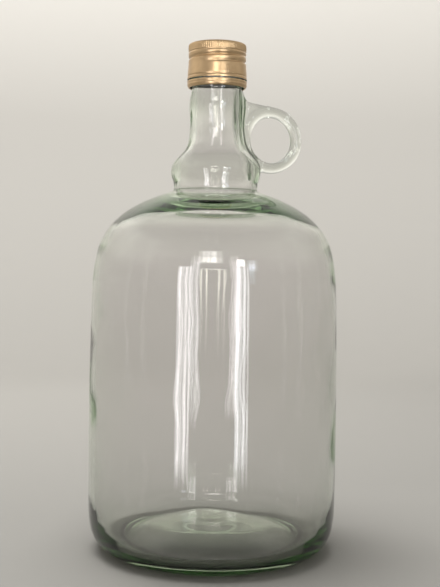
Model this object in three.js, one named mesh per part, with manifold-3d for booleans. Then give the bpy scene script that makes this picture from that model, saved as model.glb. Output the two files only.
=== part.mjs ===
// A glass wine jug, used as a small carboy: one moulded glass vessel with a finger ring on its neck,
// closed by a rolled aluminium screw cap whose tamper band has been torn free and stays on the neck.
// Millimetres, +Z up. The origin is the centre of the base, on the floor; the finger ring points along +X.
import * as THREE from "three";
import { mergeVertices } from "three/addons/utils/BufferGeometryUtils.js";
import Module from "manifold-3d";

const wasm = await Module();
wasm.setup();

// ---- Driving dimensions -------------------------------------------------------------------------
// Heights, from the floor
const PUNT_TOP = 10.8; // underside of the base, at the axis
const FLOOR_TOP = 19.4; // inside of the base, at the axis
const BARREL_TOP = 165; // where the straight wall turns into the shoulder
const CREASE = 239.5; // the sharp line between shoulder and neck
const BULGE = 252; // widest part of the ring round the neck's foot
const WAIST = 283; // narrowest part of the neck
const BEAD = 310.5; // middle of the locking bead that keeps the tamper band on
const LIP = 333.75; // sealing face of the mouth
const CAP_TOP = 336.25;

// Radii, from the jug's axis
const BODY_R = 83;
const BARREL_TOP_R = 81.6; // the mould draws in slightly towards the shoulder
const STAND_IN_R = 58; // inner and outer edge of the flat ring that the jug stands on
const STAND_OUT_R = 65;
const CREASE_R = 28.2;
const BULGE_R = 29.9;
const WAIST_R = 17.5;
const BORE_R = 13;
const FINISH_R = 17.2; // glass between the threads
const BEAD_R = 18.75;
const CAP_R = 19.25; // at the knurled top
const SKIRT_R = 19.85; // at the cap's lower edge
const WALL = 3.6; // glass, in the barrel
const SHEET = 0.45; // aluminium, with its lacquer

// Screw thread: one start, right-handed, shared by the glass ridge and the rib rolled into the cap
const LEAD = 4.2;
const RIDGE_TURNS = 1.5;
const RIB_TURNS = 1.5;
const RIDGE_SECTION_R = 1;
const RIB_SECTION_R = 0.7;
const RIB_PITCH_R = 18.2;
const GROOVE_SECTION_R = 0.85;
const GROOVE_PITCH_R = 19.0;
const RIDGE_TOP = 330.7; // upper end of the glass ridge's centre line
const RIB_START_ANGLE = THREE.MathUtils.degToRad(30); // where the cap's rib has its upper end

// Finger ring: an oval bar bent into a full circle, in the X-Z plane
const RING = { x: 39, z: 274.9, radius: 18.8, barThick: 3.7, barWide: 3.9 };

// Cap parts
const SLIT_TOP = 312.5; // lower edge of the cap shell
const SLIT_BOTTOM = 311.75; // upper edge of the tamper band
const BAND_BOTTOM = 307.2;
const LINER_R = 18;
const FACING_THICK = 0.25;
const BRIDGES = 8; // torn bridges left standing on the band
const BRIDGE = { wide: 1.2, high: 0.35, thick: 0.4 };

const ROUND_STEPS = 36;

// ---- Colours ------------------------------------------------------------------------------------
const glass = new THREE.MeshStandardMaterial({
  color: 0xcfe0d2,
  roughness: 0.03,
  metalness: 0,
  transparent: true,
  opacity: 0.35,
});
const goldLacquer = new THREE.MeshStandardMaterial({ color: 0xcfa56b, roughness: 0.32, metalness: 1 });
const foam = new THREE.MeshStandardMaterial({ color: 0xe9e7e1, roughness: 0.8, metalness: 0 });
const film = new THREE.MeshStandardMaterial({ color: 0xdcdad2, roughness: 0.3, metalness: 0 });

// ---- Geometry helpers ---------------------------------------------------------------------------
const at = (r, z) => new THREE.Vector2(r, z);

// Turns an outline of (radius, height) points round the Z axis.
function revolve(outline) {
  return new THREE.LatheGeometry(outline, ROUND_STEPS).rotateX(Math.PI / 2);
}

// `count` points along a smooth curve through the given ones, its two ends among them.
function smooth(count, points) {
  return new THREE.SplineCurve(points).getSpacedPoints(count - 1);
}

// A geometry as a manifold-3d solid, whichever way its faces were wound.
function solid(geometry) {
  const bare = new THREE.BufferGeometry();
  bare.setAttribute("position", geometry.getAttribute("position"));
  if (geometry.index) bare.setIndex(geometry.index);
  const merged = mergeVertices(bare, 1e-4);
  const build = (triVerts) =>
    new wasm.Manifold(
      new wasm.Mesh({
        numProp: 3,
        vertProperties: Float32Array.from(merged.attributes.position.array),
        triVerts,
      }),
    );
  const made = build(Uint32Array.from(merged.index.array));
  return made.volume() > 0 ? made : build(Uint32Array.from(merged.index.array).reverse());
}

function geometryOf(manifold) {
  const mesh = manifold.simplify(0.02).getMesh();
  const geometry = new THREE.BufferGeometry();
  geometry.setAttribute("position", new THREE.BufferAttribute(Float32Array.from(mesh.vertProperties), 3));
  geometry.setIndex(new THREE.BufferAttribute(Uint32Array.from(mesh.triVerts), 1));
  return geometry;
}

// A right-handed helix of the thread's lead, from its upper end downwards.
class Helix extends THREE.Curve {
  constructor(radius, topHeight, topAngle, turns) {
    super();
    Object.assign(this, { radius, topHeight, topAngle, turns });
  }
  getPoint(t, target = new THREE.Vector3()) {
    const angle = this.topAngle - t * this.turns * 2 * Math.PI;
    const height = this.topHeight - t * this.turns * LEAD;
    return target.set(this.radius * Math.cos(angle), this.radius * Math.sin(angle), height);
  }
}

// A round bar along a helix.
function threadBar(radius, sectionRadius, topHeight, topAngle, turns) {
  const section = new THREE.Shape().absarc(0, 0, sectionRadius, 0, 2 * Math.PI);
  return new THREE.ExtrudeGeometry(section, {
    extrudePath: new Helix(radius, topHeight, topAngle, turns),
    steps: Math.round(turns * 18),
    curveSegments: 3,
    bevelEnabled: false,
  });
}

// ---- Glass jug ----------------------------------------------------------------------------------
function jugOutside() {
  const punt = smooth(5, [at(0, PUNT_TOP), at(30, PUNT_TOP - 2.5), at(50, 3.2), at(STAND_IN_R, 0)]);
  const heel = smooth(7, [at(STAND_OUT_R, 0), at(75.5, 4.6), at(81.2, 15), at(BODY_R - 0.1, 34)]);
  const barrel = [at(BODY_R, 60), at(BODY_R - 0.3, 115), at(BARREL_TOP_R, BARREL_TOP)];
  const shoulder = smooth(10, [
    at(81, 180),
    at(79.3, 193),
    at(75.9, 205.2),
    at(69.7, 215.2),
    at(52, 229.4),
    at(34, 236.9),
    at(CREASE_R, CREASE),
  ]);
  const neck = smooth(14, [
    at(CREASE_R - 0.6, CREASE + 2.5),
    at(BULGE_R - 0.6, BULGE - 3.5),
    at(BULGE_R - 0.5, BULGE + 3),
    at(23.6, 263),
    at(19, 270.5),
    at(WAIST_R, WAIST),
    at(WAIST_R + 0.7, 295),
    at(WAIST_R - 0.9, 305),
  ]);
  const finish = [
    at(WAIST_R - 0.9, BEAD - 3),
    at(BEAD_R, BEAD - 0.6),
    at(BEAD_R, BEAD + 0.6),
    at(FINISH_R, BEAD + 1.6),
    at(FINISH_R, LIP - 1.2),
    at(FINISH_R - 1, LIP),
  ];
  return [...punt, ...heel, ...barrel, ...shoulder, ...neck, ...finish];
}

function jugInside() {
  const bore = [at(BORE_R + 0.9, LIP), at(BORE_R, LIP - 1), at(BORE_R, 292.5)];
  const neck = smooth(8, [
    at(BORE_R + 0.2, WAIST),
    at(16.5, 267.3),
    at(23.6, 256.2),
    at(BULGE_R - 5, BULGE - 1),
    at(CREASE_R - 4, CREASE + 1.5),
    at(25.4, 235.4),
  ]);
  const shoulder = smooth(8, [
    at(28.4, 232.1),
    at(38.5, 229.1),
    at(48, 226),
    at(67.4, 212.9),
    at(76.3, 191.8),
    at(BARREL_TOP_R - WALL + 0.5, BARREL_TOP),
  ]);
  const barrel = [at(BODY_R - WALL, 103), at(BODY_R - WALL, 36)];
  const heel = smooth(6, [at(BODY_R - WALL - 0.8, 26), at(75.6, 16), at(67.8, 9), at(58, 8.6)]);
  const floor = smooth(4, [at(46, 12.2), at(28, 17.1), at(0, FLOOR_TOP)]);
  return [...bore, ...neck, ...shoulder, ...barrel, ...heel, ...floor];
}

function fingerRing() {
  const bar = [];
  const sides = 10;
  for (let i = 0; i <= sides; i++) {
    const angle = -(i / sides) * 2 * Math.PI;
    bar.push(at(RING.radius + RING.barThick * Math.cos(angle), RING.barWide * Math.sin(angle)));
  }
  return new THREE.LatheGeometry(bar, 32).translate(RING.x, 0, RING.z);
}

// The web of glass that carries the ring's top into the neck, just under the cap.
function ringWeb() {
  const top = RING.z + RING.radius + RING.barThick;
  const shape = new THREE.Shape()
    .moveTo(15.5, top - 17)
    .lineTo(20, top - 17)
    .lineTo(24, top - 9)
    .lineTo(30, top - 4)
    .lineTo(RING.x, top - 2.4)
    .lineTo(RING.x + 1, top)
    .lineTo(30, top + 2.2)
    .lineTo(23.5, top + 3.7)
    .quadraticCurveTo(19, top + 4.6, 17, top + 7.8)
    .lineTo(15.5, top + 7.8);
  const thickness = 2 * (RING.barWide - 0.6);
  return new THREE.ExtrudeGeometry(shape, { depth: thickness, curveSegments: 5, bevelEnabled: false })
    .translate(0, 0, -thickness / 2)
    .rotateX(Math.PI / 2);
}

function glassJug() {
  const ridge = threadBar(FINISH_R, RIDGE_SECTION_R, RIDGE_TOP, 0, RIDGE_TURNS);
  return geometryOf(
    solid(revolve([...jugOutside(), ...jugInside()]))
      .add(solid(fingerRing()))
      .add(solid(ringWeb()))
      .add(solid(ridge)),
  );
}

// ---- Cap ----------------------------------------------------------------------------------------
// The outside of the cap shell: knurled top, drawn-in thread zone, barrel, and a small bead at the edge.
function capOutside() {
  const corner = new THREE.Path().absarc(CAP_R - 1.8, CAP_TOP - 1.8, 1.8, Math.PI / 2, 0, true).getPoints(3);
  const side = smooth(7, [
    at(CAP_R, 330.9),
    at(CAP_R - 0.25, 326.5),
    at(CAP_R - 0.15, 323),
    at(19.55, 318),
    at(SKIRT_R - 0.05, 314.9),
  ]);
  const edge = [at(SKIRT_R - 0.25, 314.4), at(SKIRT_R, 313.7), at(SKIRT_R, SLIT_TOP)];
  return [at(0, CAP_TOP), ...corner, ...side, ...edge];
}

function capShell() {
  const outside = capOutside();
  const inside = outside
    .slice(1)
    .reverse()
    .map((p) => at(p.x - SHEET, Math.min(p.y, CAP_TOP - SHEET - 0.05)));
  const cup = solid(revolve([...outside, ...inside, at(0, CAP_TOP - SHEET - 0.05)]));
  const ribTop = RIDGE_TOP - LEAD / 2 + (RIB_START_ANGLE / (2 * Math.PI)) * LEAD;
  const along = [ribTop, RIB_START_ANGLE, RIB_TURNS];
  const rib = solid(threadBar(RIB_PITCH_R, RIB_SECTION_R, ...along));
  const groove = solid(threadBar(GROOVE_PITCH_R, GROOVE_SECTION_R, ...along));
  return geometryOf(cup.add(rib).subtract(groove));
}

// A disc under the cap's top, from one height to another.
function disc(radius, from, to) {
  return revolve([at(0, from), at(radius, from), at(radius, to), at(0, to)]);
}

// The band torn off the cap: a thin hoop whose lower edge is curled in under the glass bead.
function tamperBand() {
  const hoop = solid(
    revolve([
      at(18.1, BAND_BOTTOM),
      at(18.9, BAND_BOTTOM),
      at(19.5, BAND_BOTTOM + 0.8),
      at(SKIRT_R - 0.05, BAND_BOTTOM + 2.4),
      at(SKIRT_R, SLIT_BOTTOM),
      at(SKIRT_R - SHEET, SLIT_BOTTOM),
      at(SKIRT_R - SHEET - 0.05, BAND_BOTTOM + 2.4),
      at(18.95, BAND_BOTTOM + 1.1),
      at(18.1, BAND_BOTTOM + 0.5),
      at(18.1, BAND_BOTTOM),
    ]),
  );
  const stub = new THREE.BoxGeometry(BRIDGE.thick, BRIDGE.wide, 2 * BRIDGE.high);
  const reach = SKIRT_R - SHEET / 2 - 0.03;
  let band = hoop;
  for (let i = 0; i < BRIDGES; i++) {
    const placed = stub.clone().translate(reach, 0, SLIT_BOTTOM).rotateZ((i * 2 * Math.PI) / BRIDGES);
    band = band.add(solid(placed));
  }
  return geometryOf(band);
}

// ---- Assembly -----------------------------------------------------------------------------------
function piece(name, geometry, material) {
  const mesh = new THREE.Mesh(geometry, material);
  mesh.name = name;
  return mesh;
}

const carboy = new THREE.Group();
carboy.add(
  piece("glass_jug", glassJug(), glass),
  piece("cap_shell", capShell(), goldLacquer),
  piece("tamper_band", tamperBand(), goldLacquer),
  piece("liner_facing", disc(LINER_R, LIP, LIP + FACING_THICK), film),
  piece("liner_wad", disc(LINER_R, LIP + FACING_THICK, CAP_TOP - SHEET - 0.15), foam),
);

export default carboy;
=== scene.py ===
"""A large glass wine jug with a finger ring and a gold screw cap, in a plain pale studio.

Everything is in metres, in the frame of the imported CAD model. The jug's outline repeats the CAD part's,
with more points; the cap, tamper band and liner follow their CAD nodes in the same way.
"""

import math

import bmesh
import bpy
import numpy as np
from mathutils import Matrix, Vector


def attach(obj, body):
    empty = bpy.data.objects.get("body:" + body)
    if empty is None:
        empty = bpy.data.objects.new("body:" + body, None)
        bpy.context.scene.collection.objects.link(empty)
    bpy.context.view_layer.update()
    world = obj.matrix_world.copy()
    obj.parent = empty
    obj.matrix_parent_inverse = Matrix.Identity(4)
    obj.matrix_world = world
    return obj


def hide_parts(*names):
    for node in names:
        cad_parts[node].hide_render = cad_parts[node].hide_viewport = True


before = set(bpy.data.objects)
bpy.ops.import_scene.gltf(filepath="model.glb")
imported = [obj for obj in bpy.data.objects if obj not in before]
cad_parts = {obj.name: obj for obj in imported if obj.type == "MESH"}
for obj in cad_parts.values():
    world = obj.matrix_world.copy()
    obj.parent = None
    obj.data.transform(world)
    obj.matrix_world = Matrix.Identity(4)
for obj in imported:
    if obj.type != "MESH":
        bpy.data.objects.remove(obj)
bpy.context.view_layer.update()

MM = 0.001
TAU = 2 * math.pi

# ---- Dimensions, in millimetres -----------------------------------------------------------------
FINISH_R = 17.2  # glass between the threads
THREADED = (322.2, 332.6)  # heights between which the glass carries its thread
LEAD = 4.2  # of the screw thread
RIDGE_TOP = 330.7  # upper end of the glass thread, at the +X side
RIDGE_TURNS = 1.5
RIDGE_SIZE = 1.05  # half the ridge's width
SEAM_SPAN = (12, 306)  # heights between which the mould's seams show
SEAM_WIDTH, SEAM_HEIGHT = 0.9, 0.1
JUG_COLUMNS = 160

RING_X, RING_Z = 39.0, 274.9  # centre of the finger ring
RING_R = 18.8
BAR_THICK, BAR_WIDE = 3.7, 3.9  # half the bar's size in the ring's plane and across it
BAR_SQUARENESS = 2.3  # exponent of the bar's section: 2 is an ellipse
WEB_SOFT = 2.4  # rounding of the web's edges
BAR_BLEND, NECK_BLEND = 2.5, 5.0  # how widely the web flows into the bar, and the ring into the neck
RING_LOW, RING_HIGH = (8, -11, 242), (65, 11, 307)  # box in which the ring is meshed
RING_CELL = 0.8

SHEET = 0.3  # rolled aluminium
KNURLS = 84
KNURL_DEPTH = 0.16
RIB_TURNS = 1.5  # of the thread rolled into the cap
RIB_START = math.radians(30)
RIB_DEPTH, RIB_SIZE = 0.95, 1.35  # its depth and half its width
BRIDGES = 8  # between cap and tamper band
BRIDGE_WIDTH = 1.2
BRIDGE_R = 19.7
CAP_STUB, BAND_STUB = 0.28, 0.3  # what is left of a torn bridge on each side
SHEET_COLUMNS = KNURLS * 4
LINER_COLUMNS = 96

# The waves that blowing leaves in the inner wall: depth, waves round the jug, turn per mm of height, phase
WALL_WAVES = [
    (0.10, 3, 0.021, 0.6),
    (0.06, 5, -0.033, 2.1),
    (0.09, 9, 0.060, 4.0),
    (0.065, 13, -0.115, 1.2),
    (0.06, 8, 0.165, 2.7),
    (0.05, 2, 0.052, 0.0),
]
NECK_WAVES = [(0.12, 4, 0.12, 0.0), (0.08, 7, -0.2, 0.0)]


# ---- Small geometry tools -----------------------------------------------------------------------
def catmull(points, step):
    """Points about `step` apart along a smooth curve through the given (radius, height) pairs."""
    p = np.array(points, float)
    p = np.vstack([2 * p[0] - p[1], p, 2 * p[-1] - p[-2]])
    out = []
    for i in range(1, len(p) - 2):
        a, b, c, d = p[i - 1 : i + 3]
        n = max(1, int(round(np.linalg.norm(c - b) / step)))
        t = (np.arange(n) / n)[:, None]
        out.append(
            0.5 * (2 * b + (c - a) * t + (2 * a - 5 * b + 4 * c - d) * t**2 + (3 * b - a - 3 * c + d) * t**3)
        )
    out.append(p[-2:-1])
    return np.vstack(out)


def new_object(name, vertices_mm, faces):
    """An object in the scene, from a mesh given in millimetres."""
    mesh = bpy.data.meshes.new(name)
    mesh.from_pydata([tuple(v) for v in np.asarray(vertices_mm) * MM], [], faces)
    mesh.validate()
    mesh.update()
    obj = bpy.data.objects.new(name, mesh)
    bpy.context.scene.collection.objects.link(obj)
    return obj


def outward(obj, smooth=True):
    """Makes the mesh's faces point out of the solid, and shades it smooth."""
    bm = bmesh.new()
    bm.from_mesh(obj.data)
    bmesh.ops.recalc_face_normals(bm, faces=bm.faces)
    if bm.calc_volume(signed=True) < 0:
        bmesh.ops.reverse_faces(bm, faces=bm.faces)
    for face in bm.faces:
        face.smooth = smooth
    bm.to_mesh(obj.data)
    bm.free()
    return obj


def revolve(name, outline, columns, shape=None):
    """A solid of revolution from a (radius, height) outline that starts and ends on the axis, or closes on
    itself. `shape(radius, height, angle, row)` may return changed radii and heights as arrays."""
    outline = np.asarray(outline, float)
    on_axis = outline[0, 0] < 1e-6 and outline[-1, 0] < 1e-6
    body = outline[1:-1] if on_axis else outline
    angles = np.arange(columns) * TAU / columns
    rows = len(body)
    r = np.repeat(body[:, :1], columns, 1)
    z = np.repeat(body[:, 1:], columns, 1)
    theta = np.repeat(angles[None, :], rows, 0)
    if shape:
        row = np.repeat(np.arange(rows)[:, None], columns, 1)
        r, z = shape(r, z, theta, row)
    vertices = np.stack([r * np.cos(theta), r * np.sin(theta), z], -1).reshape(-1, 3)
    faces = []
    last = rows - 1 if on_axis else rows
    for i in range(last):
        a, b = i * columns, ((i + 1) % rows) * columns
        for j in range(columns):
            k = (j + 1) % columns
            faces.append((a + j, a + k, b + k, b + j))
    if on_axis:
        low, high = len(vertices), len(vertices) + 1
        vertices = np.vstack([vertices, [0, 0, outline[0, 1]], [0, 0, outline[-1, 1]]])
        for j in range(columns):
            k = (j + 1) % columns
            faces.append((low, k, j))
            faces.append((high, (rows - 1) * columns + j, (rows - 1) * columns + k))
    return outward(new_object(name, vertices, faces))


def step_up(x, low, high):
    """0 below `low`, 1 above `high`, and smooth between them."""
    t = np.clip((x - low) / (high - low), 0, 1)
    return t * t * (3 - 2 * t)


def helix_offset(z, theta, top, turns, start=0.0, fade=0.35):
    """How far a height is from the nearest pass of a right-handed helix that runs down from `top`, and how
    much of the thread's full depth it has there, fading at its two ends."""
    best = np.full(z.shape, 1e9)
    share = np.zeros(z.shape)
    for k in range(-1, int(turns) + 3):
        along = (start - theta) / TAU + k
        distance = z - (top - along * LEAD)
        depth = step_up(along, 0, fade) * (1 - step_up(along, turns - fade, turns))
        nearer = (np.abs(distance) < np.abs(best)) & (along >= 0) & (along <= turns)
        best = np.where(nearer, distance, best)
        share = np.where(nearer, depth, share)
    return best, share


# ---- The jug's outline --------------------------------------------------------------------------
punt = catmull([(0, 10.8), (15, 10.2), (30, 8.3), (44, 5.2), (54, 1.9), (58, 0.35)], 3.0)
stand = np.array([(59.2, 0.0), (61.5, 0.0), (64.0, 0.0)])
heel = catmull(
    [(66, 0.3), (70, 1.8), (75.5, 5.2), (79.2, 10), (81.4, 16.5), (82.4, 25), (82.7, 36)], 1.8
)
barrel = catmull([(82.8, 50), (82.8, 75), (82.6, 115), (82.1, 145), (81.6, 165)], 6.0)
shoulder = catmull(
    [
        (81.0, 180),
        (79.3, 193),
        (75.9, 205.2),
        (69.7, 215.2),
        (61.6, 223.2),
        (52, 229.4),
        (42.5, 233.9),
        (34, 237.0),
    ],
    2.0,
)
crease = np.array([(31.2, 237.9), (29.6, 238.6), (28.6, 239.1), (28.15, 239.6), (28.0, 240.2)])
neck = catmull(
    [
        (27.75, 241.6),
        (28.1, 244.6),
        (29.3, 248.3),
        (29.85, 252.0),
        (29.3, 255.2),
        (27.2, 259.0),
        (23.6, 263.0),
        (20.9, 266.4),
        (19.0, 270.5),
        (18.0, 276.0),
        (17.5, 283.0),
        (17.75, 289.0),
        (18.2, 295.0),
        (17.8, 300.5),
        (16.9, 304.5),
        (16.6, 307.0),
    ],
    1.2,
)
bead = catmull(
    [(16.9, 307.9), (17.9, 309.0), (18.65, 310.0), (18.65, 311.0), (17.8, 311.9), (17.25, 312.7)], 0.5
)
finish = catmull([(FINISH_R, 313.4), (FINISH_R, 322.0)], 1.2)
threaded = catmull([(FINISH_R, 322.4), (FINISH_R, 332.6)], 0.34)
lip = np.array(
    [
        (17.1, 333.0),
        (16.7, 333.45),
        (16.1, 333.7),
        (15.4, 333.75),
        (14.6, 333.6),
        (13.7, 333.1),
        (13.2, 332.3),
    ]
)
bore = catmull([(13.0, 331.0), (13.0, 315.0), (13.0, 300.0), (13.15, 290.0)], 3.5)
neck_inside = catmull(
    [
        (13.4, 283.0),
        (14.4, 274.5),
        (16.5, 267.3),
        (20.3, 261.3),
        (23.6, 256.2),
        (24.9, 251.0),
        (24.4, 245.8),
        (24.3, 241.0),
        (25.2, 236.4),
    ],
    2.2,
)
shoulder_inside = catmull(
    [
        (27.6, 232.6),
        (32.0, 230.9),
        (38.5, 229.1),
        (48.0, 226.0),
        (58.5, 220.7),
        (67.4, 212.9),
        (73.3, 202.4),
        (76.5, 191.8),
        (78.2, 178),
    ],
    2.4,
)
barrel_inside = catmull(
    [(78.6, 165), (79.0, 145), (79.25, 115), (79.3, 75), (79.2, 50), (78.9, 36)], 7.0
)
floor_inside = catmull(
    [
        (78.2, 26),
        (76.6, 18.8),
        (73.6, 13),
        (68.6, 9.0),
        (63.0, 7.9),
        (57.5, 8.9),
        (46, 12.4),
        (30, 16.8),
        (15, 18.8),
        (0, 19.4),
    ],
    2.4,
)
outside = np.vstack([punt, stand, heel, barrel, shoulder, crease, neck, bead, finish, threaded, lip])
inside = np.vstack([bore, neck_inside, shoulder_inside, barrel_inside, floor_inside])
neck_zone = np.vstack([shoulder, crease, neck])


def sum_of_waves(waves, theta, z):
    return sum(depth * np.sin(count * theta + rate * z + phase) for depth, count, rate, phase in waves)


def jug_shape(r, z, theta, row):
    """Thread, mould seams, and the gentle waves of the inner wall."""
    is_outside = row < len(outside) - 1
    distance, share = helix_offset(z, theta, RIDGE_TOP, RIDGE_TURNS, fade=0.12)
    ridge = np.sqrt(np.clip(1 - (distance / RIDGE_SIZE) ** 2, 0, 1)) * share
    threads = is_outside & (z > THREADED[0]) & (z < THREADED[1])
    r = r + np.where(threads, ridge, 0)

    seam_arc = np.abs(np.sin(theta)) * r
    seam = np.exp(-((seam_arc / SEAM_WIDTH) ** 2)) * SEAM_HEIGHT
    seamed = is_outside & (z > SEAM_SPAN[0]) & (z < SEAM_SPAN[1])
    r = r + np.where(seamed, seam, 0)

    # The wall's waves fade out above the base, thin out over the shoulder and end under the neck.
    lower = step_up(z, 20, 60)
    upper = 1 - 0.75 * step_up(z, 165, 195) - 0.25 * step_up(z, 205, 236)
    r = r + np.where(is_outside, 0, sum_of_waves(WALL_WAVES, theta, z) * lower * upper)
    in_neck = step_up(z, 240, 262) * (1 - step_up(z, 285, 300))
    r = r + np.where(is_outside, 0, sum_of_waves(NECK_WAVES, theta, z) * in_neck)
    return r, z


# ---- The finger ring, as a smooth solid that flares into the neck -------------------------------
def smooth_min(a, b, k):
    """The smaller of two distances, rounded over where they are within `k` of each other."""
    h = np.clip(k - np.abs(a - b), 0, None) / k
    return np.minimum(a, b) - h * h * k / 4


def polygon_distance(x, z, corners):
    """Signed distance to a polygon: negative inside."""
    corners = np.array(corners, float)
    best = np.full(x.shape, 1e18)
    inside_count = np.zeros(x.shape, bool)
    for a, b in zip(corners, np.roll(corners, -1, 0)):
        edge = b - a
        wx, wz = x - a[0], z - a[1]
        t = np.clip((wx * edge[0] + wz * edge[1]) / (edge @ edge), 0, 1)
        best = np.minimum(best, (wx - t * edge[0]) ** 2 + (wz - t * edge[1]) ** 2)
        crosses = (a[1] > z) != (b[1] > z)
        with np.errstate(divide="ignore", invalid="ignore"):
            hit = x < a[0] + (z - a[1]) * edge[0] / (edge[1] if edge[1] else 1e-12)
        inside_count ^= crosses & hit
    return np.where(inside_count, -1, 1) * np.sqrt(best)


WEB_TOP = RING_Z + RING_R + BAR_THICK
WEB = [  # side view of the glass between the ring's top and the neck, as (x, z)
    (13, 262),
    (19, 262),
    (20.5, 268),
    (20.5, 280),
    (24, WEB_TOP - 9),
    (30, WEB_TOP - 4.5),
    (RING_X - 2, WEB_TOP - 2.6),
    (RING_X - 1, WEB_TOP - 0.2),
    (30, WEB_TOP + 1.2),
    (23.5, WEB_TOP + 2.2),
    (20.0, WEB_TOP + 3.6),
    (17.6, WEB_TOP + 6.4),
    (16.4, WEB_TOP + 9.0),
    (13, WEB_TOP + 9.0),
]
neck_order = np.argsort(neck_zone[:, 1])
NECK_Z = neck_zone[neck_order, 1]
NECK_R = neck_zone[neck_order, 0]
NECK_SLOPE = np.gradient(NECK_R, NECK_Z)


def ring_field(x, y, z):
    """Negative inside the finger ring, its web and the skin of the neck under them."""
    radius = np.hypot(x, y)
    outer = np.interp(z, NECK_Z, NECK_R)
    steep = 1 / np.sqrt(1 + np.interp(z, NECK_Z, NECK_SLOPE) ** 2)
    neck_distance = (radius - outer) * steep
    across = np.hypot(x - RING_X, z - RING_Z) - RING_R
    power = BAR_SQUARENESS
    section = (np.abs(across / BAR_THICK) ** power + np.abs(y / BAR_WIDE) ** power) ** (1 / power)
    bar = (section - 1) * BAR_THICK
    half = BAR_WIDE - 0.7
    a, b = polygon_distance(x, z, WEB) + WEB_SOFT, np.abs(y) - half + WEB_SOFT
    web = np.hypot(np.clip(a, 0, None), np.clip(b, 0, None)) + np.minimum(np.maximum(a, b), 0) - WEB_SOFT
    ring = smooth_min(bar, web, BAR_BLEND)
    joined = smooth_min(ring, neck_distance + 0.05, NECK_BLEND)
    # Only the ring's side of the neck is kept, and only a thin skin of the neck's own glass.
    keep = np.maximum.reduce([outer - 2.2 - radius, np.abs(y) - 9.5, 243.5 - z, z - 306.6, 8 - x])
    return np.maximum(joined, keep)


def surface_net(field, low, high, cell):
    """A closed quad mesh of the surface where field(x, y, z) is zero."""
    axes = [np.arange(a, b + cell, cell) for a, b in zip(low, high)]
    grid = np.meshgrid(*axes, indexing="ij")
    value = field(*grid)
    solid = value < 0
    shape = [n - 1 for n in solid.shape]
    total = np.zeros(shape + [3])
    count = np.zeros(shape)
    corner = [(i, j, k) for i in (0, 1) for j in (0, 1) for k in (0, 1)]

    def part(array, offset):
        return array[tuple(slice(o, o + n) for o, n in zip(offset, shape))]

    for first in corner:
        for axis in range(3):
            if first[axis]:
                continue
            second = tuple(o + (axis == n) for n, o in enumerate(first))
            va, vb = part(value, first), part(value, second)
            crossing = (va < 0) != (vb < 0)
            with np.errstate(divide="ignore", invalid="ignore"):
                t = np.where(crossing, va / (va - vb), 0)
            point = np.stack([np.full(shape, float(o)) for o in first], -1)
            point[..., axis] += t
            total += point * crossing[..., None]
            count += crossing
    used = count > 0
    number = np.full(shape, -1)
    number[used] = np.arange(used.sum())
    base = np.stack(np.meshgrid(*[np.arange(n) for n in shape], indexing="ij"), -1)[used]
    vertices = np.array(low) + (base + total[used] / count[used][:, None]) * cell

    faces = []
    for axis in range(3):
        u, v = [(1, 2), (2, 0), (0, 1)][axis]
        here = [slice(None)] * 3
        there = [slice(None)] * 3
        here[axis], there[axis] = slice(0, -1), slice(1, None)
        a, b = solid[tuple(here)], solid[tuple(there)]
        index = np.argwhere(a != b)
        index = index[(index[:, u] > 0) & (index[:, v] > 0)]
        index = index[(index[:, u] < solid.shape[u] - 1) & (index[:, v] < solid.shape[v] - 1)]
        for i in index:
            flip = a[tuple(i)]
            quad = []
            for du, dv in ((-1, -1), (0, -1), (0, 0), (-1, 0)):
                j = i.copy()
                j[u] += du
                j[v] += dv
                quad.append(int(number[tuple(j)]))
            faces.append(tuple(quad if flip else quad[::-1]))
    return vertices, faces


def settle(vertices, field, rounds=4, most=0.15):
    """Moves points onto the field's zero surface."""
    h = 0.02
    for _ in range(rounds):
        x, y, z = vertices.T
        value = field(x, y, z)
        slope = np.stack(
            [
                field(x + h, y, z) - field(x - h, y, z),
                field(x, y + h, z) - field(x, y - h, z),
                field(x, y, z + h) - field(x, y, z - h),
            ],
            -1,
        ) / (2 * h)
        size = (slope**2).sum(-1).clip(0.05)
        move = -slope * (value / size)[:, None]
        length = np.linalg.norm(move, axis=1, keepdims=True).clip(1e-9)
        vertices = vertices + move * np.minimum(1, most / length)
    return vertices


def join_solids(target, other):
    """Target becomes the union of the two closed solids."""
    modifier = target.modifiers.new("union", "BOOLEAN")
    modifier.operation = "UNION"
    modifier.solver = "MANIFOLD"
    modifier.object = other
    bpy.context.view_layer.update()
    graph = bpy.context.evaluated_depsgraph_get()
    mesh = bpy.data.meshes.new_from_object(target.evaluated_get(graph))
    target.modifiers.clear()
    old = target.data
    target.data = mesh
    bpy.data.meshes.remove(old)
    bpy.data.objects.remove(other)


jug = revolve("glass_vessel", np.vstack([outside, inside]), JUG_COLUMNS, jug_shape)
ring_points, ring_faces = surface_net(ring_field, RING_LOW, RING_HIGH, RING_CELL)
ring_points = settle(ring_points, ring_field)
ring = outward(new_object("finger_ring_blank", ring_points, ring_faces))
join_solids(jug, ring)
for polygon in jug.data.polygons:
    polygon.use_smooth = True


# ---- Cap, band and liner ------------------------------------------------------------------------
def bridge_mask(theta, width_mm, radius_mm):
    """1 on the torn bridges between cap and band, 0 between them."""
    arc = TAU / BRIDGES
    off = np.abs((theta + arc / 2) % arc - arc / 2) * radius_mm
    return 1 - step_up(off, width_mm / 2 - 0.15, width_mm / 2 + 0.25)


def sheet_outline(outer, thickness, rounding=0.4):
    """Closed outline of a sheet: the outer skin, then the same skin set in by the sheet's thickness."""
    outer = np.asarray(outer, float)
    tangent = np.gradient(outer, axis=0)
    tangent /= np.linalg.norm(tangent, axis=1, keepdims=True)
    normal = np.stack([tangent[:, 1], -tangent[:, 0]], -1)
    inner = outer + normal * thickness
    edge = (outer[-1] + inner[-1]) / 2 + tangent[-1] * thickness * rounding
    return outer, np.vstack([edge, inner[::-1]])


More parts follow.
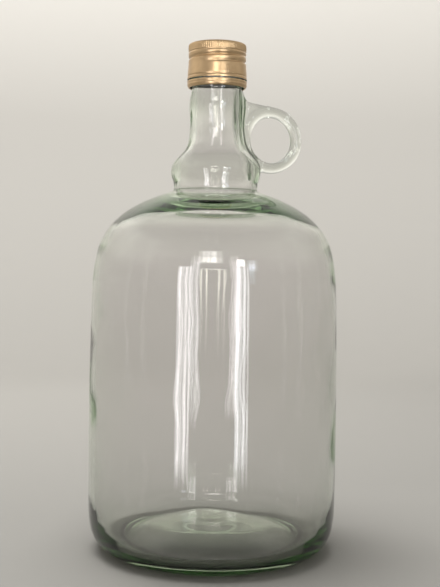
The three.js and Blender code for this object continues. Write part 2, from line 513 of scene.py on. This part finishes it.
cap_side = catmull(
    [
        (19.15, 334.6),
        (19.2, 333.6),
        (19.2, 332.0),
        (19.15, 331.2),
        (18.8, 330.8),
        (18.85, 330.3),
        (19.15, 329.7),
        (19.1, 328.6),
        (19.05, 325.5),
        (19.1, 322.6),
        (19.25, 320.5),
        (19.45, 318.0),
        (19.6, 316.0),
        (19.62, 315.1),
    ],
    0.34,
)
cap_edge = catmull([(19.4, 314.75), (19.42, 314.45), (19.72, 314.1), (19.8, 313.6), (19.8, 312.65)], 0.25)
cap_top = catmull(
    [(0, 335.75), (8, 335.75), (15.0, 335.8), (16.6, 335.95), (17.4, 336.2), (18.2, 336.1), (18.85, 335.6)],
    0.6,
)
cap_outer = np.vstack([cap_top, [(19.1, 335.0)], cap_side, cap_edge])
cap_skin, cap_lining = sheet_outline(cap_outer, SHEET)
cap_lining[-1, 0] = 0.0


def cap_shape(r, z, theta, row):
    """Knurls on the top, the rolled thread, and the torn bridges on the lower edge."""
    knurled = step_up(z, 331.0, 331.7) * (1 - step_up(z, 335.0, 335.9)) * (r > 18)
    flutes = KNURL_DEPTH * (np.cos(KNURLS * theta) - 1)
    r = r + knurled * flutes
    top = RIDGE_TOP - LEAD / 2 + RIB_START / TAU * LEAD
    distance, share = helix_offset(z, theta, top, RIB_TURNS, start=RIB_START, fade=0.3)
    in_side = (r > 17.5) & (z > 318) & (z < 331)
    groove = 0.5 * (1 + np.cos(np.clip(distance / RIB_SIZE, -1, 1) * math.pi)) * share
    r = r - np.where(in_side, RIB_DEPTH * groove, 0)
    tabs = bridge_mask(theta, BRIDGE_WIDTH, BRIDGE_R)
    lowest = np.clip((313.0 - z) / 0.4, 0, 1) * (r > 18)
    z = z - CAP_STUB * tabs * lowest
    return r, z


cap = revolve("cap_shell_rolled", np.vstack([cap_skin, cap_lining]), SHEET_COLUMNS, cap_shape)

band_outer = catmull(
    [
        (19.72, 311.75),
        (19.8, 311.4),
        (19.8, 310.5),
        (19.68, 310.1),
        (19.66, 309.8),
        (19.78, 309.4),
        (19.7, 308.7),
        (19.35, 307.9),
        (18.95, 307.4),
        (18.5, 307.22),
        (18.15, 307.4),
    ],
    0.25,
)
band_skin, band_lining = sheet_outline(band_outer, SHEET)


def band_shape(r, z, theta, row):
    """The torn bridges that stand up from the band's upper edge."""
    tabs = bridge_mask(theta, BRIDGE_WIDTH, BRIDGE_R)
    highest = np.clip((z - 311.4) / 0.3, 0, 1)
    return r, z + BAND_STUB * tabs * highest


band = revolve("tamper_band_hoop", np.vstack([band_skin, band_lining]), SHEET_COLUMNS, band_shape)

wad_low, wad_high = 334.0, 335.35
wad = revolve(
    "liner_foam_disc",
    np.vstack(
        [
            [(0, wad_low)],
            catmull([(6, wad_low), (13, wad_low), (17.6, wad_low), (17.95, wad_low + 0.3)], 1.2),
            catmull([(18.0, wad_low + 0.7), (17.95, wad_high - 0.3), (17.6, wad_high)], 0.4),
            catmull([(16.5, wad_high), (10, wad_high), (5, wad_high)], 2.5),
            [(0, wad_high)],
        ]
    ),
    LINER_COLUMNS,
)
film_low, film_high = 333.76, 333.98
facing = revolve(
    "liner_film_disc",
    np.vstack(
        [
            [(0, film_low)],
            catmull(
                [
                    (5, film_low),
                    (12.0, film_low),
                    (13.2, film_low),
                    (16.6, film_low),
                    (17.8, 333.78),
                    (17.95, 333.86),
                ],
                0.8,
            ),
            catmull([(17.95, 333.92), (17.8, 333.97), (12, film_high), (5, film_high)], 2.5),
            [(0, film_high)],
        ]
    ),
    LINER_COLUMNS,
)


# ---- Materials ----------------------------------------------------------------------------------
GLASS_IOR = 1.52
GLASS_SURFACE = (0.968, 0.936, 0.964)  # what one surface lets through
GLASS_DEPTH, GLASS_DENSITY = (0.410, 0.620, 0.335), 36.0  # what thickness takes away, per metre


def material(name):
    """A new material with an empty node tree, and the tree's nodes and links."""
    mat = bpy.data.materials.new(name)
    mat.use_nodes = True
    mat.node_tree.nodes.clear()
    return mat, mat.node_tree.nodes, mat.node_tree.links


def noise(nodes, links, coordinates, scale, detail=3.0, roughness=0.5):
    node = nodes.new("ShaderNodeTexNoise")
    node.inputs["Scale"].default_value = scale
    node.inputs["Detail"].default_value = detail
    node.inputs["Roughness"].default_value = roughness
    links.new(coordinates, node.inputs["Vector"])
    return node.outputs["Fac"]


def mapped(nodes, links, value, low, high, from_low=0.3, from_high=0.7):
    """Values from `from_low` to `from_high` spread over `low` to `high`, and held there outside them."""
    node = nodes.new("ShaderNodeMapRange")
    node.inputs["From Min"].default_value = from_low
    node.inputs["From Max"].default_value = from_high
    node.inputs["To Min"].default_value = low
    node.inputs["To Max"].default_value = high
    links.new(value, node.inputs["Value"])
    return node.outputs["Result"]


def ramp(nodes, links, value, stops):
    node = nodes.new("ShaderNodeValToRGB")
    elements = node.color_ramp.elements
    while len(elements) < len(stops):
        elements.new(0.5)
    for element, (place, colour) in zip(elements, stops):
        element.position = place
        element.color = (*colour, 1)
    links.new(value, node.inputs["Fac"])
    return node.outputs["Color"]


def bump(nodes, links, height, strength, distance_mm, normal=None):
    node = nodes.new("ShaderNodeBump")
    node.inputs["Strength"].default_value = strength
    node.inputs["Distance"].default_value = distance_mm * MM
    links.new(height, node.inputs["Height"])
    if normal:
        links.new(normal, node.inputs["Normal"])
    return node.outputs["Normal"]


def glass_material():
    """Clear moulded glass: a faint green that deepens with thickness, and a slightly uneven skin."""
    mat, nodes, links = material("clear_green_glass")
    where = nodes.new("ShaderNodeTexCoord").outputs["Object"]
    surface = nodes.new("ShaderNodeBsdfPrincipled")
    surface.inputs["Base Color"].default_value = (*GLASS_SURFACE, 1)
    surface.inputs["Transmission Weight"].default_value = 1.0
    surface.inputs["IOR"].default_value = GLASS_IOR
    skin = noise(nodes, links, where, 45, 2.0)
    links.new(mapped(nodes, links, skin, 0.0, 0.025), surface.inputs["Roughness"])
    ripple = noise(nodes, links, where, 28, 1.0)
    links.new(bump(nodes, links, ripple, 0.25, 0.25), surface.inputs["Normal"])
    tint = nodes.new("ShaderNodeVolumeAbsorption")
    tint.inputs["Color"].default_value = (*GLASS_DEPTH, 1)
    tint.inputs["Density"].default_value = GLASS_DENSITY
    out = nodes.new("ShaderNodeOutputMaterial")
    links.new(surface.outputs[0], out.inputs["Surface"])
    links.new(tint.outputs[0], out.inputs["Volume"])
    return mat


def metal_material(name, light, dark, rough_low, rough_high, brushing=0.003):
    """Rolled aluminium: fine lines drawn round it, faint mottling and small scuffs."""
    mat, nodes, links = material(name)
    where = nodes.new("ShaderNodeTexCoord").outputs["Object"]
    stretch = nodes.new("ShaderNodeMapping")
    stretch.inputs["Scale"].default_value = (60, 60, 2600)
    links.new(where, stretch.inputs["Vector"])
    lines = noise(nodes, links, stretch.outputs["Vector"], 1.0, 2.0)
    mottle = noise(nodes, links, where, 260, 4.0)
    surface = nodes.new("ShaderNodeBsdfPrincipled")
    surface.inputs["Metallic"].default_value = 1.0
    links.new(ramp(nodes, links, mottle, [(0.3, dark), (0.72, light)]), surface.inputs["Base Color"])
    links.new(mapped(nodes, links, mottle, rough_low, rough_high), surface.inputs["Roughness"])
    normal = bump(nodes, links, lines, 0.5, brushing)
    links.new(bump(nodes, links, mottle, 0.3, 0.004, normal), surface.inputs["Normal"])
    out = nodes.new("ShaderNodeOutputMaterial")
    links.new(surface.outputs[0], out.inputs["Surface"])
    return mat


def liner_material(name, light, dark, cells_per_m, roughness, depth_mm):
    """Foam or film: small cells pressed into a faintly blotched surface."""
    mat, nodes, links = material(name)
    where = nodes.new("ShaderNodeTexCoord").outputs["Object"]
    cells = nodes.new("ShaderNodeTexVoronoi")
    cells.inputs["Scale"].default_value = cells_per_m
    links.new(where, cells.inputs["Vector"])
    blotch = noise(nodes, links, where, 180, 3.0)
    surface = nodes.new("ShaderNodeBsdfPrincipled")
    links.new(ramp(nodes, links, blotch, [(0.3, dark), (0.7, light)]), surface.inputs["Base Color"])
    links.new(mapped(nodes, links, blotch, roughness - 0.05, roughness + 0.05), surface.inputs["Roughness"])
    links.new(bump(nodes, links, cells.outputs["Distance"], 0.6, depth_mm), surface.inputs["Normal"])
    out = nodes.new("ShaderNodeOutputMaterial")
    links.new(surface.outputs[0], out.inputs["Surface"])
    return mat


glass = glass_material()
gold = metal_material("satin_gold_lacquer", (0.63, 0.45, 0.262), (0.57, 0.40, 0.23), 0.28, 0.34)
# Bare aluminium inside the cap and band, with painted shade: far darker than aluminium is, so the gap under
# the cap and the cap's inside look shaded.
bare_metal_with_painted_shade = metal_material("bare_aluminium_with_painted_shade", (0.34, 0.34, 0.37), (0.27, 0.27, 0.30), 0.34, 0.46)
foam = liner_material("white_foam", (0.86, 0.85, 0.81), (0.80, 0.79, 0.74), 2600, 0.8, 0.06)
film = liner_material("barrier_film", (0.80, 0.80, 0.78), (0.74, 0.74, 0.72), 900, 0.28, 0.01)

jug.data.materials.clear()
jug.data.materials.append(glass)


def two_sided_sheet(obj, skin_rows, capped):
    """Gold outside; inside, bare metal painted far darker than aluminium, painted shade for the gap under
    the cap and the cap's hollow. The outline's first rows are the outer skin; a capped sheet's first row is
    the point on the axis, which is no ring of vertices."""
    obj.data.materials.append(gold)
    obj.data.materials.append(bare_metal_with_painted_shade)
    limit = (skin_rows - (1 if capped else 0)) * SHEET_COLUMNS
    for polygon in obj.data.polygons:
        outer = sum(v < limit for v in polygon.vertices) >= 3
        polygon.material_index = 0 if outer else 1


two_sided_sheet(cap, len(cap_skin), True)
two_sided_sheet(band, len(band_skin), False)
wad.data.materials.append(foam)
facing.data.materials.append(film)

# ---- Which piece moves with which body ----------------------------------------------------------
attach(jug, "jug")
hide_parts("glass_jug")
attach(cap, "cap")
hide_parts("cap_shell")
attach(band, "band")
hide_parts("tamper_band")
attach(wad, "liner")
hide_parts("liner_wad")
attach(facing, "liner")
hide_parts("liner_facing")

# ---- Studio, in metres --------------------------------------------------------------------------
CAMERA_TURN = math.radians(-20)  # round the jug, away from the finger ring's side
CAMERA_PLACE = (0.0039, -0.686, 0.201)
CAMERA_PITCH, CAMERA_ROLL = math.radians(87.5), math.radians(0.8)
CAMERA_LENS, CAMERA_SENSOR = 62.8, 36  # mm

STAGE_FLAT, STAGE_BEND, STAGE_TOP = 0.9, 0.45, 1.9  # floor's radius, curve up into the wall, ceiling
STAGE_COLUMNS = 96
SHADED_SIDE_TURN = math.radians(25)  # which way the painted shade runs: darker on the camera's side, turned by this much
# Painted shade: the floor is painted darker than the wall, and both are painted darker on the camera's side
# than on the far side.
FLOOR_PAINTED_SHADE, FLOOR_PAINTED_LIT = (0.28, 0.276, 0.264), (0.33, 0.323, 0.308)
WALL_PAINTED_SHADE, WALL_PAINTED_LIT = (0.42, 0.412, 0.395), (0.66, 0.648, 0.622)
CEILING_PAINT = (0.30, 0.295, 0.285)
CEILING_PAINTED_GLOW = 0.34  # painted light: the upper wall and ceiling glow, though no lamp, to stay as bright as the wall behind the jug

BARREL_R = 0.083
MIRROR_SWING = 2.14  # how far the barrel's mirrored view swings for each degree its surface turns
PANE_STEPS = 10
AIR_COLOUR, AIR_STRENGTH = (0.80, 0.79, 0.76), 0.45
GLASS_BOUNCES, CLEAR_BOUNCES = 96, 16  # light turns many times inside thick glass

turn = Matrix.Rotation(CAMERA_TURN, 4, "Z")


def seen(x, y, z):
    """A place given in the camera's own left-right and near-far directions."""
    return turn @ Vector((x, y, z))


def stage_cove():
    """A round pale room: the floor curves up into the wall. Painted shade darkens the floor and the camera's
    side of the room; a painted glow lights the upper wall and ceiling.
    """
    wall = STAGE_FLAT + STAGE_BEND
    outline = [(STAGE_FLAT * k / 6, 0.0) for k in range(7)]
    for k in range(1, 13):
        angle = k / 12 * math.pi / 2
        outline.append((STAGE_FLAT + STAGE_BEND * math.sin(angle), STAGE_BEND * (1 - math.cos(angle))))
    outline += [(wall, STAGE_BEND + (STAGE_TOP - STAGE_BEND) * k / 4) for k in range(1, 5)]
    outline += [(wall * (1 - k / 5), STAGE_TOP) for k in range(1, 5)] + [(0.02, STAGE_TOP)]
    columns = STAGE_COLUMNS
    angles = [j * TAU / columns for j in range(columns)]
    vertices = [(0, 0, 0)]
    for r, z in outline[1:]:
        vertices += [(r * math.cos(angle), r * math.sin(angle), z) for angle in angles]
    faces = [(0, 1 + j, 1 + (j + 1) % columns) for j in range(columns)]
    for i in range(len(outline) - 2):
        a, b = 1 + i * columns, 1 + (i + 1) * columns
        for j in range(columns):
            k = (j + 1) % columns
            faces.append((a + j, b + j, b + k, a + k))
    cove = new_object("studio_cove", np.array(vertices) / MM, faces)
    for polygon in cove.data.polygons:
        polygon.use_smooth = True
    mat, nodes, links = material("pale_studio_paint_with_painted_shade")
    where = nodes.new("ShaderNodeTexCoord").outputs["Object"]
    aim = nodes.new("ShaderNodeMapping")
    aim.inputs["Rotation"].default_value = (0, 0, -CAMERA_TURN - SHADED_SIDE_TURN)
    links.new(where, aim.inputs["Vector"])
    split = nodes.new("ShaderNodeSeparateXYZ")
    links.new(aim.outputs["Vector"], split.inputs[0])
    # Painted shade: darker on the camera's side of the room, lighter on the far side.
    side = mapped(nodes, links, split.outputs["Y"], 0.0, 1.0, -0.65, 0.75)
    low = ramp(nodes, links, side, [(0.0, FLOOR_PAINTED_SHADE), (0.55, FLOOR_PAINTED_SHADE), (1.0, FLOOR_PAINTED_LIT)])
    high = ramp(nodes, links, side, [(0.0, WALL_PAINTED_SHADE), (0.55, WALL_PAINTED_SHADE), (1.0, WALL_PAINTED_LIT)])
    # Painted shade: darker towards the floor.
    height = mapped(nodes, links, split.outputs["Z"], 0.0, 1.0, -0.05, 0.75)
    painted_shade_by_height = nodes.new("ShaderNodeMix")
    painted_shade_by_height.data_type = "RGBA"
    links.new(height, painted_shade_by_height.inputs["Factor"])
    links.new(low, painted_shade_by_height.inputs["A"])
    links.new(high, painted_shade_by_height.inputs["B"])
    ceiling = nodes.new("ShaderNodeMix")
    ceiling.data_type = "RGBA"
    links.new(mapped(nodes, links, split.outputs["Z"], 0.0, 1.0, 1.0, 1.5), ceiling.inputs["Factor"])
    links.new(painted_shade_by_height.outputs["Result"], ceiling.inputs["A"])
    ceiling.inputs["B"].default_value = (*CEILING_PAINT, 1)
    surface = nodes.new("ShaderNodeBsdfDiffuse")
    links.new(ceiling.outputs["Result"], surface.inputs["Color"])
    # Painted light: the upper wall and ceiling glow, more strongly towards the top, though they are no lamp.
    painted_glow = nodes.new("ShaderNodeEmission")
    painted_glow.inputs["Color"].default_value = (0.99, 0.98, 0.95, 1)
    links.new(mapped(nodes, links, split.outputs["Z"], 0.0, CEILING_PAINTED_GLOW, 0.8, 1.4), painted_glow.inputs["Strength"])
    both = nodes.new("ShaderNodeAddShader")
    links.new(surface.outputs[0], both.inputs[0])
    links.new(painted_glow.outputs[0], both.inputs[1])
    out = nodes.new("ShaderNodeOutputMaterial")
    links.new(both.outputs[0], out.inputs["Surface"])
    mat.cycles.emission_sampling = "NONE"
    cove.data.materials.append(mat)


def after_a_mirror(nodes, links):
    """1 for light seen by way of a reflection, 0 for light seen directly or through glass."""
    path = nodes.new("ShaderNodeLightPath")
    node = nodes.new("ShaderNodeMath")
    node.operation = "GREATER_THAN"
    node.inputs[1].default_value = 0.5
    links.new(path.outputs["Glossy Depth"], node.inputs[0])
    return node.outputs[0]


def soft_light(name, place, target, size, power, colour):
    """A soft box that lights the room but is not itself mirrored in the glass."""
    data = bpy.data.lights.new(name, "AREA")
    data.shape = "RECTANGLE"
    data.size, data.size_y = size
    data.energy = power
    data.color = colour
    obj = bpy.data.objects.new(name, data)
    bpy.context.scene.collection.objects.link(obj)
    obj.location = place
    obj.rotation_euler = (Vector(target) - Vector(place)).to_track_quat("-Z", "Y").to_euler()
    obj.visible_camera = False
    obj.visible_glossy = False
    obj.visible_transmission = False


def window(name, sides, near, far, low, high, strength, colour, fade=0.05, streaks=0.5, soft=0.12):
    """A bright pane that only mirrored light shows. It leans away: its foot is `near` and its head `far`
    from the jug's front, it stands from `low` to `high`, and the barrel mirrors it to the camera at the
    angles `sides`, in degrees. `fade` softens its foot, `soft` its sides; `streaks` draws folds down it."""
    points, places = [], []
    for j in range(PANE_STEPS + 1):
        v = j / PANE_STEPS
        for i in range(PANE_STEPS + 1):
            u = i / PANE_STEPS
            angle = math.radians(sides[0] + (sides[1] - sides[0]) * u)
            facing = angle / MIRROR_SWING
            reach = near + (far - near) * v
            x = BARREL_R * math.sin(facing) + reach * math.sin(angle)
            y = -BARREL_R * math.cos(facing) - reach * math.cos(angle)
            point = seen(x, y, low + (high - low) * v)
            points.append(point / MM)
            places.append((u, v))
    row = PANE_STEPS + 1
    corners = [j * row + i for j in range(PANE_STEPS) for i in range(PANE_STEPS)]
    faces = [(c, c + 1, c + row + 1, c + row) for c in corners]
    pane = new_object(name, points, faces)
    layer = pane.data.uv_layers.new(name="pane")
    for loop in pane.data.loops:
        layer.data[loop.index].uv = places[loop.vertex_index]
    mat, nodes, links = material(name + "_light")
    split = nodes.new("ShaderNodeSeparateXYZ")
    links.new(nodes.new("ShaderNodeTexCoord").outputs["UV"], split.inputs[0])

    def times(a, b):
        node = nodes.new("ShaderNodeMath")
        node.operation = "MULTIPLY"
        for value, socket in zip((a, b), node.inputs):
            if isinstance(value, float):
                socket.default_value = value
            else:
                links.new(value, socket)
        return node.outputs[0]

    edges = times(
        times(
            mapped(nodes, links, split.outputs["X"], 0.0, 1.0, 0.0, soft),
            mapped(nodes, links, split.outputs["X"], 0.0, 1.0, 1.0, 1.0 - soft),
        ),
        times(
            mapped(nodes, links, split.outputs["Y"], 0.0, 1.0, 0.0, fade),
            mapped(nodes, links, split.outputs["Y"], 0.0, 1.0, 1.0, 1.0 - soft / 3),
        ),
    )
    folds = nodes.new("ShaderNodeTexNoise")
    folds.noise_dimensions = "1D"
    folds.inputs["Scale"].default_value = 7.0
    folds.inputs["Detail"].default_value = 2.0
    links.new(split.outputs["X"], folds.inputs["W"])
    streaked = mapped(nodes, links, folds.outputs["Fac"], 1.0 - streaks, 1.0 + streaks, 0.35, 0.65)
    lamp = nodes.new("ShaderNodeEmission")
    lamp.inputs["Color"].default_value = (*colour, 1)
    shine = times(times(edges, streaked), times(after_a_mirror(nodes, links), float(strength)))
    links.new(shine, lamp.inputs["Strength"])
    both = nodes.new("ShaderNodeAddShader")
    links.new(nodes.new("ShaderNodeBsdfTransparent").outputs[0], both.inputs[0])
    links.new(lamp.outputs[0], both.inputs[1])
    out = nodes.new("ShaderNodeOutputMaterial")
    links.new(both.outputs[0], out.inputs["Surface"])
    mat.cycles.emission_sampling = "NONE"
    pane.data.materials.append(mat)
    pane.visible_camera = False
    pane.visible_diffuse = False
    pane.visible_shadow = False


stage_cove()
soft_light("top_soft", seen(-0.25, 0.05, 1.7), (0, 0, 0.1), (1.2, 1.2), 30, (1.0, 0.98, 0.95))
soft_light("wall_wash", seen(-0.4, 0.3, 1.6), seen(-0.2, 1.3, 1.0), (0.8, 0.5), 11, (1.0, 0.98, 0.95))
window("window_left", (-33.8, -20.0), 0.22, 0.80, 0.003, 0.43, 5.0, (1.0, 0.96, 1.0), streaks=0.9)
window("window_right", (19.4, 32.5), 0.22, 0.80, 0.003, 0.43, 4.6, (0.95, 0.95, 1.0), streaks=0.95)
window("window_edge", (32.5, 38.5), 0.60, 0.80, 0.25, 0.43, 1.6, (0.62, 0.78, 1.0), fade=0.4)
for side, angles in enumerate(((-12.4, -10.4), (-7.4, -5.6), (3.4, 5.4), (8.4, 10.4)), 1):
    window(f"arch_leg_{side}", angles, 0.36, 0.80, 0.11, 0.389, 6.5, (1.0, 0.98, 0.88), fade=0.6, soft=0.3)
window("arch_top", (-12.4, 10.4), 0.78, 0.82, 0.379, 0.397, 5.0, (1.0, 0.98, 0.90))
window("bright_sky", (21.0, 30.0), 0.80, 0.82, 0.44, 0.54, 20, (1.0, 1.0, 1.0), soft=0.2)
window("side_sky", (31.0, 42.0), 0.66, 0.66, 0.32, 0.46, 5, (0.80, 0.87, 1.0), fade=0.35, soft=0.35)
window("cap_window", (-16.0, 9.0), 0.80, 0.80, 0.50, 0.68, 9.0, (1.0, 0.98, 0.94), soft=0.4)
window("fill_right", (48, 125), 0.80, 0.80, 0.30, 0.95, 0.25, (1.0, 0.99, 0.97), fade=0.3, soft=0.3)
window("fill_left", (-125, -40), 0.80, 0.80, 0.30, 0.95, 0.35, (1.0, 0.99, 0.97), fade=0.3, soft=0.3)

world = bpy.data.worlds.new("studio_air")
bpy.context.scene.world = world
world.use_nodes = True
world.node_tree.nodes["Background"].inputs["Color"].default_value = (*AIR_COLOUR, 1)
world.node_tree.nodes["Background"].inputs["Strength"].default_value = AIR_STRENGTH
world.cycles_visibility.glossy = False
bpy.context.scene.view_settings.view_transform = "Standard"
paths = bpy.context.scene.cycles
paths.max_bounces = GLASS_BOUNCES
paths.glossy_bounces = GLASS_BOUNCES
paths.transmission_bounces = GLASS_BOUNCES
paths.transparent_max_bounces = CLEAR_BOUNCES

# ---- Camera -------------------------------------------------------------------------------------
camera_data = bpy.data.cameras.new("camera")
camera = bpy.data.objects.new("camera", camera_data)
bpy.context.scene.collection.objects.link(camera)
bpy.context.scene.camera = camera
camera_data.sensor_width = CAMERA_SENSOR
camera_data.lens = CAMERA_LENS
camera.matrix_world = (
    Matrix.Translation(seen(*CAMERA_PLACE))
    @ turn
    @ Matrix.Rotation(CAMERA_PITCH, 4, "X")
    @ Matrix.Rotation(CAMERA_ROLL, 4, "Z")
)
